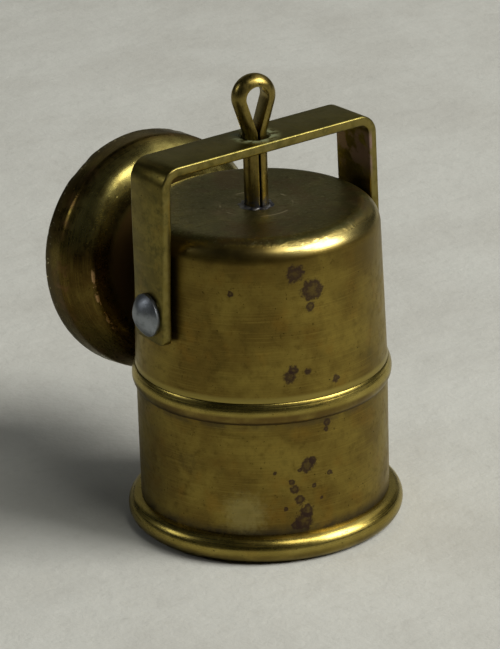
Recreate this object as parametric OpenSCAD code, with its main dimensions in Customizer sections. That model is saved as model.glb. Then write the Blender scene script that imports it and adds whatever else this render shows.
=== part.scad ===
// Miner's hand lamp of the carbide pattern, standing on its base.
// Origin: centre of the underside. +Z up, the reflector faces -Y, the bail rivets lie on the X axis.

/* [Canister] */
// Outer radius of the base at the floor
base_r = 19.0; // [18.6:0.1:19.4]
// Outer radius of the base and of the cap at the joint
joint_r = 18.8; // [18.6:0.1:19]
// Outer radius of the cap where its shoulder starts
cap_top_r = 18.2; // [18:0.1:18.4]
// Height of the joint face, at the top of the bead
joint_z = 25.1; // [24:0.1:26]
// Height of the top of the cap
cap_z = 49.4; // [49:0.1:51]
// Rounding of the cap's shoulder
shoulder_r = 3.5; // [3:0.1:3.7]
// How far the top of the cap sinks towards its middle
top_dish = 0.35; // [0.2:0.05:0.6]
// Wall of the base
base_wall = 1.0; // [0.8:0.1:1.2]

/* [Mouldings] */
// Radius of the half-round foot ring's section
foot_r = 2.1; // [1.8:0.1:2.3]
// Largest radius of the foot ring
foot_ring_r = 20.8; // [20.4:0.1:21.2]
// Largest radius of the bead at the joint
bead_ring_r = 19.45; // [19.2:0.05:19.8]
// Height of the bead
bead_h = 3.4; // [2.8:0.1:3.8]

/* [Screw joint] */
// Radius of the neck that the cap screws onto
neck_r = 16.9; // [16.7:0.1:17]
// Top of the neck
neck_top_z = 30.9; // [29:0.1:31]
// Thickness of the sealing ring
gasket_t = 0.5; // [0.4:0.1:0.6]
// Running clearance between parts that turn in each other
clearance = 0.07; // [0.05:0.01:0.1]

/* [Bail] */
// Half of the bail's width over its arms, just below the bends
bail_x = 19.7; // [19.7:0.1:20.2]
// Lean of each arm, outwards to its foot, in degrees
arm_lean = 1.3; // [1.3:0.1:2]
// Width of the strip
strip_w = 8.0; // [7:0.1:9]
// Thickness of the strip
strip_t = 1.5; // [1.2:0.1:1.5]
// Height of the crossbar's top face
bail_top_z = 59.8; // [59:0.1:61]
// Outer radius of the bail's two bends
bend_r = 3.0; // [2.5:0.1:3.5]
// Height of the rivets
rivet_z = 37.0; // [36.5:0.1:37.5]
// Radius of a rivet's shank
rivet_r = 1.6; // [1.5:0.1:1.7]
// Radius of a rivet's round head
rivet_head_r = 3.2; // [2.8:0.1:3.3]
// Height of the straight side of a rivet's head
rivet_side_h = 0.6; // [0.4:0.1:0.8]
// Height of the dome on a rivet's head
rivet_dome_h = 1.5; // [1:0.1:1.7]

/* [Split pin] */
// Radius of each half-round leg
wire_r = 1.65; // [1.5:0.05:1.65]
// Gap between the two legs
leg_gap = 0.3; // [0.2:0.05:0.3]
// Top of the eye
eye_top_z = 69.3; // [69:0.1:71]
// Half of the clear width inside the eye
eye_inner_r = 1.75; // [1.6:0.05:1.9]
// Turn of the eye from the crossbar at rest
eye_turn = -13; // [-20:1:20]

/* [Reflector] */
// Height at which the burner axis leaves the cap
burner_z = 35.3; // [35:0.1:36]
// Downward tilt of the burner axis
burner_tilt = 5.8; // [4:0.1:6]
// Sideways turn of the burner axis
burner_turn = -2.2; // [-3:0.1:0]
// Radius of the reflector's rim
dish_r = 18.5; // [18:0.1:18.7]
// Depth of the reflector from its rim to its back
dish_depth = 8.3; // [8:0.1:8.6]
// Thickness of the reflector's sheet
dish_t = 0.9; // [0.7:0.1:1]
// Rounding between the reflector's back and its conical wall
dish_bend_r = 4.4; // [3.8:0.1:4.8]
// Flare of the conical wall, from the burner axis
dish_flare = 30; // [28:1:34]
// Rounding between the conical wall and the band at the rim
dish_band_bend_r = 2.0; // [1.6:0.1:2.4]
// Height of the band at the rim
dish_band_h = 3.6; // [3:0.1:4]
// Flare of the band, from the burner axis
dish_band_flare = 2; // [1:0.5:4]

/* [Hidden] */
$fn = 96;
eps = 0.01;

// Canister
floor_t = 1.0;
foot_chamfer = 0.5;
rest_gap = 0.03;
cap_floor_z = joint_z + gasket_t + 2 * rest_gap;
cap_skirt_in_r = joint_r - 1.0;
tank_r = cap_top_r - 1.1;
tank_floor_t = 1.0;
tank_floor_z = 31.6;
cap_top_t = 1.0;
bush_flange_r = 2.9;

// Valve stem, from the top down
stem_r = wire_r + leg_gap / 2;
bush_r = 2.3;
bush_body_r = 3.3;
bush_low_z = 45.6;
top_mid_z = cap_z - top_dish;
packing_r = 2.5;
packing_h = 1.6;
gland_nut_af = 7.0;
gland_nut_h = 1.7;
leg_low_z = 38.8;
socket_r = 2.5;
socket_low_z = 37.9;
socket_top_z = 41.2;
needle_r = 0.9;
needle_tip_r = 0.05;
needle_gap = 0.04;

// Drip tube and filter
drip_r = 1.6;
drip_bore_r = 0.7;
seat_z = 34.6;
seat_h = 0.7;
drip_low_z = 14.0;
filter_r = 15.4;
felt_t = 1.6;
plate_t = 0.6;
filter_nut_h = 1.4;
filter_nut_af = 6.0;
gas_y = -11.5;
gas_r = 1.9;
gas_bore_r = 1.1;
gas_top_z = 38.4;

// Bail: the arms lean out from the middle of each bend
arm_low_z = rivet_z - strip_w / 2;
bend_mid = [bail_x - bend_r, bail_top_z - bend_r];
arm_out_x = bail_x + (bend_mid[1] - rivet_z) * tan(arm_lean);
arm_corner_r = 1.0;
bar_hole_r = stem_r + 0.42;
washer_x = 16.8;
washer_t = 0.6;
washer_r = 2.4;
tail_r = 2.1;
tail_h = 0.8;

// Reflector: distances along the burner axis from the cap's surface
boss_r = 4.6;
dish_back = 2.5;
holder_r = 2.6;
holder_len = 6.6;
holder_bore_r = 1.0;
lamp_nut_af = 8.0;
lamp_nut_h = 2.0;
tip_r = 1.5;
tip_len = 9.6;
tip_bore_r = 0.35;

// Eye
eye_mid_z = eye_top_z - wire_r - eye_inner_r;
fork_z = bail_top_z + 0.7;
limb_rise = eye_mid_z - fork_z;
limb_reach = sqrt(pow(limb_rise, 2) + pow(leg_gap / 2, 2));
limb_tilt = asin(eye_inner_r / limb_reach) - atan(leg_gap / 2 / limb_rise);
limb_len = sqrt(pow(limb_reach, 2) - pow(eye_inner_r, 2));

// Ring or tube standing on z = low
module tube(r_out, r_in, low, high) {
    translate([0, 0, low])
        difference() {
            cylinder(r = r_out, h = high - low);
            translate([0, 0, -1]) cylinder(r = r_in, h = high - low + 2);
        }
}

// Hexagon nut with a round bore
module hex_nut(across_flats, bore_r, low, height) {
    translate([0, 0, low])
        difference() {
            cylinder(r = across_flats / sqrt(3), h = height, $fn = 6);
            translate([0, 0, -1]) cylinder(r = bore_r, h = height + 2);
        }
}

// Places children on the burner axis: z = 0 at the cap's surface, +z out through the reflector
module on_burner_axis() {
    translate([0, -cap_top_r - 0.3, burner_z])
        rotate([0, 0, burner_turn]) rotate([90 + burner_tilt, 0, 0]) children();
}

// Outline of the base from its axis to its outer face
module base_outline() {
    polygon([[0, 0], [base_r - foot_chamfer, 0], [base_r, foot_chamfer], [joint_r, joint_z], [0, joint_z]]);
}

module base_cup() {
    color([0.62, 0.52, 0.22])
        difference() {
            rotate_extrude() base_outline();
            translate([0, 0, floor_t]) cylinder(r = joint_r - base_wall, h = joint_z);
        }
}

module foot_ring() {
    color([0.68, 0.57, 0.25])
        rotate_extrude()
            difference() {
                translate([foot_ring_r - foot_r, foot_r]) circle(r = foot_r);
                base_outline();
            }
}

// The bead is a flat arc: its radius follows from its height and how far it stands out
module base_bead() {
    proud = bead_ring_r - joint_r;
    arc_r = (pow(bead_h / 2, 2) + pow(proud, 2)) / (2 * proud);
    color([0.68, 0.57, 0.25])
        rotate_extrude()
            difference() {
                translate([bead_ring_r - arc_r, joint_z - bead_h / 2]) circle(r = arc_r);
                base_outline();
                translate([0, joint_z]) square([30, 10]);
            }
}

module base_neck() {
    collar_h = 3.5;
    color([0.66, 0.55, 0.24]) {
        difference() {
            union() {
                translate([0, 0, joint_z - collar_h]) cylinder(r = joint_r - base_wall, h = collar_h);
                translate([0, 0, joint_z - eps]) cylinder(r = neck_r, h = neck_top_z - joint_z + eps);
            }
            cylinder(r = neck_r - 1.0, h = 2 * neck_top_z);
        }
    }
}

module gasket() {
    color([0.1, 0.1, 0.1])
        tube(joint_r - 0.25, neck_r + clearance, joint_z + rest_gap, joint_z + rest_gap + gasket_t);
}

// Outline of the cap from its axis to its outer face, with its rounded shoulder and sunk top
module cap_outline() {
    rim_r = cap_top_r - shoulder_r;
    union() {
        polygon([[0, cap_floor_z], [joint_r, cap_floor_z], [cap_top_r, cap_z - shoulder_r],
                 [rim_r, cap_z - shoulder_r], [rim_r, cap_z], [0, cap_z - top_dish]]);
        intersection() {
            translate([rim_r, cap_z - shoulder_r]) circle(r = shoulder_r);
            translate([rim_r, cap_z - shoulder_r]) square(shoulder_r);
        }
    }
}

module cap_shell() {
    step_z = tank_floor_z + tank_floor_t;
    color([0.6, 0.5, 0.2])
        difference() {
            rotate_extrude() cap_outline();
            cylinder(r = cap_skirt_in_r, h = step_z);
            translate([0, 0, step_z - eps])
                cylinder(r = tank_r, h = cap_z - shoulder_r - step_z);
            translate([0, 0, cap_z - shoulder_r - 0.5])
                cylinder(r = tank_r - 1.5, h = shoulder_r + 0.5 - top_dish - cap_top_t);
            cylinder(r = bush_r, h = cap_z + 1);
            translate([0, 0, rivet_z]) rotate([0, 90, 0]) cylinder(r = rivet_r, h = 60, center = true);
            on_burner_axis() translate([0, 0, -6]) cylinder(r = holder_r, h = 12);
        }
}

module cap_thread_ring() {
    color([0.64, 0.54, 0.24]) tube(cap_skirt_in_r, neck_r + clearance, cap_floor_z + 0.6, tank_floor_z);
}

module tank_floor() {
    color([0.55, 0.46, 0.2])
        difference() {
            tube(cap_skirt_in_r, drip_r, tank_floor_z, tank_floor_z + tank_floor_t);
            translate([0, gas_y, 0]) cylinder(r = gas_r, h = 60);
        }
}

module drip_tube() {
    flange_r = 3.4;
    color([0.6, 0.5, 0.22])
        difference() {
            union() {
                translate([0, 0, drip_low_z]) cylinder(r = drip_r, h = seat_z - drip_low_z);
                translate([0, 0, tank_floor_z + tank_floor_t]) cylinder(r = flange_r, h = 0.8);
            }
            translate([0, 0, drip_low_z - 1]) cylinder(r = drip_bore_r, h = 60);
            translate([0, 0, seat_z - seat_h])
                cylinder(r1 = drip_bore_r, r2 = drip_bore_r + seat_h + eps, h = seat_h + eps);
        }
}

module felt_filter() {
    high = tank_floor_z - 0.2;
    color([0.75, 0.72, 0.62]) tube(filter_r, drip_r, high - felt_t, high);
}

// Perforated plate that holds the felt: rings of small holes
module filter_plate() {
    high = tank_floor_z - 0.2 - felt_t;
    color([0.62, 0.53, 0.25])
        difference() {
            tube(filter_r, drip_r, high - plate_t, high);
            for (ring = [1:4])
                for (k = [0:6 * ring - 1])
                    rotate([0, 0, 60 * k / ring]) translate([3.2 * ring + 0.6, 0, high - 2])
                        cylinder(r = 0.55, h = 4, $fn = 16);
        }
}

module filter_nut() {
    plate_low = tank_floor_z - 0.2 - felt_t - plate_t;
    color([0.66, 0.56, 0.26]) hex_nut(filter_nut_af, drip_r, plate_low - filter_nut_h, filter_nut_h);
}

// Rises through the tank floor, closed at the top, and feeds the burner holder
module gas_tube() {
    low = tank_floor_z - 0.1;
    color([0.58, 0.48, 0.2])
        difference() {
            translate([0, gas_y, low]) cylinder(r = gas_r, h = gas_top_z - low);
            translate([0, gas_y, low - 1]) cylinder(r = gas_bore_r, h = gas_top_z - low);
            on_burner_axis() translate([0, 0, -holder_len]) cylinder(r = holder_r, h = 12);
        }
}

// Saddle between the cap and the reflector, shaped to the cap's round wall
module reflector_boss() {
    color([0.6, 0.5, 0.22])
        difference() {
            on_burner_axis() tube(boss_r, holder_r, -1.5, dish_back);
            rotate_extrude() cap_outline();
        }
}

// Reflector's section: a flat back, a bend, a conical wall, a second bend and a nearly straight band.
// wall_out and band_out are the directions at right angles to wall and band, away from the bowl.
wall_out = [cos(dish_flare), -sin(dish_flare)];
band_out = [cos(dish_band_flare), -sin(dish_band_flare)];
band_up = [sin(dish_band_flare), cos(dish_band_flare)];
band_mid = [dish_r, dish_depth] - dish_band_h * band_up - dish_band_bend_r * band_out;
wall_h = band_mid[1] + dish_band_bend_r * wall_out[1] - dish_bend_r * (1 + wall_out[1]);
bend_x = band_mid[0] + (dish_band_bend_r - dish_bend_r) * wall_out[0] - wall_h * tan(dish_flare);
dish_bend_mid = [bend_x, dish_bend_r];

// Outline of the sheet's face that lies inset inside its outer face, filled up to the height high
module dish_outline(inset, high) {
    bend = dish_bend_r - inset;
    band_bend = dish_band_bend_r - inset;
    band_foot = band_mid + band_bend * band_out;
    band_top = band_foot + (high - band_foot[1]) / band_up[1] * band_up;
    union() {
        translate([0, inset]) square([bend_x, high - inset]);
        translate(dish_bend_mid) circle(r = bend);
        translate(band_mid) circle(r = band_bend);
        polygon([[0, dish_bend_r], dish_bend_mid, dish_bend_mid + bend * wall_out,
                 band_mid + band_bend * wall_out, band_mid, band_foot, band_top, [0, high]]);
    }
}

module reflector_dish() {
    color([0.66, 0.56, 0.24])
        on_burner_axis() translate([0, 0, dish_back])
            rotate_extrude()
                difference() {
                    dish_outline(0, dish_depth);
                    dish_outline(dish_t, dish_depth + 1);
                    translate([0, -1]) square([holder_r, 4]);
                }
}

module burner_holder() {
    color([0.64, 0.54, 0.24])
        on_burner_axis()
            difference() {
                translate([0, 0, -holder_len]) cylinder(r = holder_r, h = 2 * holder_len);
                translate([0, 0, -holder_len - 1]) cylinder(r = holder_bore_r, h = 2 * holder_len);
                translate([0, 0, holder_len - 3]) cylinder(r = tip_r, h = 4);
            }
}

module reflector_nut() {
    color([0.66, 0.56, 0.26])
        on_burner_axis() hex_nut(lamp_nut_af, holder_r, dish_back + dish_t, lamp_nut_h);
}

module burner_tip() {
    color([0.88, 0.86, 0.8])
        on_burner_axis()
            difference() {
                translate([0, 0, holder_len - 3]) cylinder(r = tip_r, h = tip_len - holder_len + 3);
                translate([0, 0, holder_len - 4]) cylinder(r = tip_bore_r, h = 10);
            }
}

module stem_bush() {
    color([0.7, 0.62, 0.4])
        difference() {
            union() {
                translate([0, 0, top_mid_z - cap_top_t]) cylinder(r = bush_r, h = cap_top_t + 0.25);
                translate([0, 0, top_mid_z + 0.1]) cylinder(r = bush_flange_r, h = 0.25);
                translate([0, 0, bush_low_z]) cylinder(r = bush_body_r, h = top_mid_z - cap_top_t - bush_low_z);
            }
            translate([0, 0, bush_low_z - 1]) cylinder(r = stem_r + clearance, h = 10);
            translate([0, 0, bush_low_z - 1]) cylinder(r = packing_r, h = packing_h + 1);
        }
}

module stem_packing() {
    color([0.35, 0.32, 0.28]) tube(packing_r, stem_r + clearance, bush_low_z, bush_low_z + packing_h);
}

module gland_nut() {
    color([0.66, 0.56, 0.26]) hex_nut(gland_nut_af, stem_r + clearance, bush_low_z - gland_nut_h, gland_nut_h);
}

// Half-round section of the wire, with its flat on the left at x = inset
module half_round(inset = 0) {
    intersection() {
        circle(r = wire_r - inset);
        translate([inset, -wire_r]) square([wire_r, 2 * wire_r]);
    }
}

// One leg and its slanting limb. The limb is a hair thinner, so that it ends cleanly inside leg and ring.
module leg_and_limb() {
    lap = 0.35;
    translate([leg_gap / 2, 0, leg_low_z]) linear_extrude(fork_z - leg_low_z) half_round();
    translate([leg_gap / 2, 0, fork_z])
        rotate([0, limb_tilt, 0]) translate([0, 0, -lap]) linear_extrude(limb_len + 2 * lap) half_round(0.02);
}

module split_pin() {
    color([0.66, 0.55, 0.24])
        rotate([0, 0, eye_turn]) {
            leg_and_limb();
            mirror([1, 0, 0]) leg_and_limb();
            translate([0, 0, eye_mid_z]) rotate([90, limb_tilt, 0])
                rotate_extrude(angle = 180 + 2 * limb_tilt) translate([eye_inner_r, 0]) half_round();
        }
}

// Socket for the pin's legs, with the needle below it. Its 45 degree point stops just short of the seat.
module valve_needle() {
    cone_h = needle_r - needle_tip_r;
    tip_z = seat_z - seat_h - (drip_bore_r - needle_gap - needle_tip_r);
    color([0.7, 0.6, 0.3])
        difference() {
            union() {
                translate([0, 0, socket_low_z]) cylinder(r = socket_r, h = socket_top_z - socket_low_z);
                translate([0, 0, tip_z + cone_h]) cylinder(r = needle_r, h = socket_low_z - tip_z - cone_h + eps);
                translate([0, 0, tip_z]) cylinder(r1 = needle_tip_r, r2 = needle_r, h = cone_h);
            }
            translate([0, 0, leg_low_z - 0.1]) cylinder(r = stem_r + clearance, h = 10);
        }
}

// Half of the flat strip's hoop, seen along Y: half the crossbar, the bend and the leaning arm
module half_hoop() {
    in_r = bend_r - strip_t;
    translate([-eps, bail_top_z - strip_t]) square([bend_mid[0] + 2 * eps, strip_t]);
    translate(bend_mid) {
        intersection() {
            difference() {
                circle(r = bend_r);
                circle(r = in_r);
            }
            rotate(arm_lean) square([20, 20]);
            translate([0, -1]) square([20, 20]);
        }
        rotate(arm_lean)
            translate([in_r, arm_low_z - bail_top_z]) square([strip_t, bail_top_z - arm_low_z + eps]);
    }
}

// Strip seen along X, with its lower corners eased
module strip_outline() {
    half = strip_w / 2;
    translate([-half, arm_low_z + arm_corner_r]) square([strip_w, 40]);
    translate([-half + arm_corner_r, arm_low_z]) square([strip_w - 2 * arm_corner_r, 40]);
    for (side = [-1, 1])
        translate([side * (half - arm_corner_r), arm_low_z + arm_corner_r]) circle(r = arm_corner_r);
}

module bail() {
    color([0.6, 0.51, 0.24])
        difference() {
            intersection() {
                rotate([90, 0, 0]) linear_extrude(strip_w + 2, center = true) {
                    half_hoop();
                    mirror([1, 0]) half_hoop();
                }
                rotate([90, 0, 90]) linear_extrude(60, center = true) strip_outline();
            }
            translate([0, 0, rivet_z]) rotate([0, 90, 0])
                cylinder(r = rivet_r + clearance, h = 60, center = true);
            translate([0, 0, bail_top_z - 5]) cylinder(r = bar_hole_r, h = 10);
        }
}

// Rivet along +X: shank, head outside the arm, peened tail inside the cap
module rivet() {
    head_x = arm_out_x + rivet_head_r * tan(arm_lean) + 0.03;
    tail_x = washer_x - washer_t;
    dome_r = (pow(rivet_head_r, 2) + pow(rivet_dome_h, 2)) / (2 * rivet_dome_h);
    translate([0, 0, rivet_z]) rotate([0, 90, 0]) {
        translate([0, 0, tail_x - tail_h]) cylinder(r = rivet_r, h = head_x - tail_x + tail_h + eps);
        translate([0, 0, tail_x - tail_h]) cylinder(r1 = tail_r - 0.5, r2 = tail_r, h = tail_h);
        translate([0, 0, head_x]) intersection() {
            translate([0, 0, rivet_side_h + rivet_dome_h - dome_r]) sphere(r = dome_r);
            cylinder(r = rivet_head_r, h = rivet_side_h + rivet_dome_h + 1);
        }
    }
}

module rivet_right() {
    color([0.55, 0.57, 0.6]) rivet();
}

module rivet_left() {
    color([0.55, 0.57, 0.6]) mirror([1, 0, 0]) rivet();
}

module rivet_washer() {
    translate([0, 0, rivet_z]) rotate([0, 90, 0]) tube(washer_r, rivet_r, washer_x - washer_t, washer_x);
}

module rivet_washer_right() {
    color([0.64, 0.55, 0.26]) rivet_washer();
}

module rivet_washer_left() {
    color([0.64, 0.55, 0.26]) mirror([1, 0, 0]) rivet_washer();
}

base_cup();
foot_ring();
base_bead();
base_neck();
gasket();
cap_shell();
cap_thread_ring();
tank_floor();
drip_tube();
felt_filter();
filter_plate();
filter_nut();
gas_tube();
reflector_boss();
reflector_dish();
burner_holder();
reflector_nut();
burner_tip();
stem_bush();
stem_packing();
gland_nut();
split_pin();
valve_needle();
bail();
rivet_right();
rivet_left();
rivet_washer_right();
rivet_washer_left();
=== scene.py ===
"""Miner's hand lamp: the looks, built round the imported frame.

Shapes are worked out in millimetres and made in metres; +Z up, the reflector faces -Y, the rivets lie on X.
"""

import math

import bmesh
import bpy
from mathutils import Matrix, Vector, noise


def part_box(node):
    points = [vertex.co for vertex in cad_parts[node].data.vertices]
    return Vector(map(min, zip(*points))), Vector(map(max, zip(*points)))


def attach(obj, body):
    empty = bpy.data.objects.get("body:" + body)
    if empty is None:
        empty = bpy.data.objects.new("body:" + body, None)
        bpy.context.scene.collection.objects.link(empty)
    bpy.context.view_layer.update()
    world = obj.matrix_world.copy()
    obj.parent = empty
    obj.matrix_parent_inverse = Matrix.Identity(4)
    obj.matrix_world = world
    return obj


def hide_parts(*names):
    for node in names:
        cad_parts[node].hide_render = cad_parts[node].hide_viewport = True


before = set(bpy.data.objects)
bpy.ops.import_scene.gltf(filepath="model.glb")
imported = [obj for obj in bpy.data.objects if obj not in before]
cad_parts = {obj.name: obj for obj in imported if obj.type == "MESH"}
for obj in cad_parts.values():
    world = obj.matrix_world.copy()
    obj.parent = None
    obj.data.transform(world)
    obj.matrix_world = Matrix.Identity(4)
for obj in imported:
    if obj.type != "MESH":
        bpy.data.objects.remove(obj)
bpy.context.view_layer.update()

MM = 0.001


# ---------------------------------------------------------------- places and sizes (mm)

def low(node):
    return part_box(node)[0] / MM


def high(node):
    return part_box(node)[1] / MM


def middle(node):
    return (low(node) + high(node)) / 2


# Canister
BASE_R = high("base_cup").x
JOINT_Z = high("base_cup").z
JOINT_R = high("cap_shell").x
NECK_R = 16.9
NECK_TOP_Z = high("base_neck").z
NECK_PITCH = 2.5
CAP_LOW_Z = low("cap_shell").z
CAP_Z = high("cap_shell").z
CAP_TOP_R = JOINT_R - 0.6
SHOULDER_R = 3.5
SHOULDER_Z = CAP_Z - SHOULDER_R
TOP_MID_Z = CAP_Z - 0.35
SHEET_T = 1.0

# The cap's lip hangs this far over the gasket; lip and bead lean out by the flare where they meet
SKIRT_LIP = 0.52
JOINT_FLARE = 0.13

# Bail, rivets, split pin and its bush
BAIL_Z = high("bail").z
ARM_LOW_Z = low("bail").z
STRIP_W = high("bail").y - low("bail").y
STRIP_T = 1.5
BEND_R = 3.0
BAIL_X = 19.7
ARM_LEAN = math.radians(1.3)
SPRUNG = math.radians(5)
RIVET_Z = middle("rivet_right").z
RIVET_OUT = high("rivet_right").x
RIVET_HEAD_R = 3.2
RIVET_HEAD_H = 2.1
RIVET_SHANK_R = 1.6
RIVET_END_X = 15.3
WIRE_R = 1.65
STEM_R = 1.8
BUSH_R = 2.3
BUSH_LOW_Z = low("stem_bush").z
EYE_TURN = math.radians(-13)
EYE_TOP_Z = high("split_pin").z
LEG_LOW_Z = low("split_pin").z

# Burner axis and the pieces on it
AXIS_START = middle("burner_holder")
AXIS_DIR = (middle("burner_tip") - AXIS_START).normalized()
BOSS_R = 4.6
HOLDER_R = 2.6
HOLDER_BORE_R = 1.0
HOLDER_LEN = 6.6
NUT_AF = 8.0
NUT_H = 2.0
TIP_R = 1.5
TIP_BORE_R = 0.35
TIP_LEN = 9.6
TIP_SEAT = HOLDER_LEN - 3

# Reflector: radius, where its back lies on the axis, depth, sheet, bends (mm) and flares (degrees)
DISH_R = 18.5
DISH_BACK = 2.5
DISH_DEPTH = 8.3
DISH_T = 0.9
DISH_BEND_R = 4.4
DISH_FLARE = 30
BAND_BEND_R = 2.0
BAND_H = 3.6
BAND_FLARE = 2
DENT_ANGLE = 55


# ---------------------------------------------------------------- outlines (mm)

def arc(cx, cy, radius, start, end, steps=10):
    """Points along an arc; angles in degrees."""
    angles = [math.radians(start + (end - start) * k / steps) for k in range(steps + 1)]
    return [(cx + radius * math.cos(a), cy + radius * math.sin(a)) for a in angles]


def eased(corners, steps=5):
    """Closed outline through corners (x, y, rounding), each rounded by its own radius."""
    points = []
    for k, (x, y, rounding) in enumerate(corners):
        here = Vector((x, y))
        to_prev = (Vector(corners[k - 1][:2]) - here).normalized()
        to_next = (Vector(corners[(k + 1) % len(corners)][:2]) - here).normalized()
        half = to_prev.angle(to_next) / 2
        if rounding <= 0 or half > math.radians(88):
            points.append((x, y))
            continue
        cut = rounding / math.tan(half)
        mid = here + (to_prev + to_next).normalized() * rounding / math.sin(half)
        first = math.atan2(*reversed(here + to_prev * cut - mid))
        last = math.atan2(*reversed(here + to_next * cut - mid))
        sweep = (last - first + math.pi) % (2 * math.pi) - math.pi
        points += arc(mid.x, mid.y, rounding, math.degrees(first), math.degrees(first + sweep), steps)
    return points


def dense(points, step):
    """The closed outline with no stretch longer than step."""
    result = []
    for k, p in enumerate(points):
        q = points[(k + 1) % len(points)]
        pieces = max(1, math.ceil(math.dist(p, q) / step))
        result += [tuple(Vector(p).lerp(Vector(q), j / pieces)) for j in range(pieces)]
    return result


def smooth(value, start, end):
    """0 at start, 1 at end, eased between them."""
    t = min(max((value - start) / (end - start), 0), 1)
    return t * t * (3 - 2 * t)


def wobble(point, size, seed=0.0):
    """Smooth noise in about -1..1 with features of size mm."""
    return noise.noise(Vector(point) / size + Vector((seed, 1.7 * seed, -seed)))


# ---------------------------------------------------------------- meshes

# Points closer than WELD metres become one; faces that meet at more than SHARP show an edge
WELD = 1e-7
SHARP = math.radians(35)


def solid(name, rows, closed_rows=True, place=None):
    """Mesh object from rows of points (mm), joined across and round. Open rows get their two ends filled."""
    bm = bmesh.new()
    made = [[bm.verts.new(Vector(p) * MM) for p in row] for row in rows]
    count = len(made[0])
    for i in range(len(made) if closed_rows else len(made) - 1):
        a, b = made[i], made[(i + 1) % len(made)]
        for j in range(count):
            k = (j + 1) % count
            bm.faces.new((a[j], a[k], b[k], b[j]))
    if not closed_rows:
        bm.faces.new(reversed(made[0]))
        bm.faces.new(made[-1])
    bmesh.ops.remove_doubles(bm, verts=bm.verts, dist=WELD)
    bmesh.ops.recalc_face_normals(bm, faces=bm.faces)
    mesh = bpy.data.meshes.new(name)
    bm.to_mesh(mesh)
    bm.free()
    mesh.shade_smooth()
    mesh.set_sharp_from_angle(angle=SHARP)
    obj = bpy.data.objects.new(name, mesh)
    bpy.context.scene.collection.objects.link(obj)
    if place:
        obj.matrix_world = place
    return obj


def lathe(name, outline, shape=None, steps=240, step=0.8, place=None):
    """Turns a closed outline of (radius, height) about Z, in steps round and at most step mm along it.

    shape(x, y, z) may move each point.
    """
    rows = []
    for radius, z in dense(outline, step):
        row = [(radius * math.cos(a), radius * math.sin(a), z)
               for a in (2 * math.pi * k / steps for k in range(steps))]
        rows.append([shape(*p) for p in row] if shape else row)
    return solid(name, rows, place=place)


def cut(obj, cutter):
    """Takes cutter out of obj for good."""
    mod = obj.modifiers.new("cut", "BOOLEAN")
    mod.object = cutter
    mod.operation = "DIFFERENCE"
    mod.solver = "EXACT"
    mesh = bpy.data.meshes.new_from_object(obj.evaluated_get(bpy.context.evaluated_depsgraph_get()))
    obj.modifiers.clear()
    obj.data = mesh
    bpy.data.objects.remove(cutter)
    mesh.shade_smooth()
    mesh.set_sharp_from_angle(angle=SHARP)


def axis_place():
    """Local +Z along the burner axis, local X level, origin where the axis leaves the cap."""
    side = Vector((0, 0, 1)).cross(AXIS_DIR).normalized()
    turn = Matrix((side, AXIS_DIR.cross(side), AXIS_DIR)).transposed().to_4x4()
    return Matrix.Translation(AXIS_START * MM) @ turn


def fit(obj, material, body, slot, *nodes):
    """Gives a piece its material and body, and hides the nodes that it stands for. The slot argument is not
    used.
    """
    obj.data.materials.append(material)
    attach(obj, body)
    if nodes:
        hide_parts(*nodes)


# ---------------------------------------------------------------- materials

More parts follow.
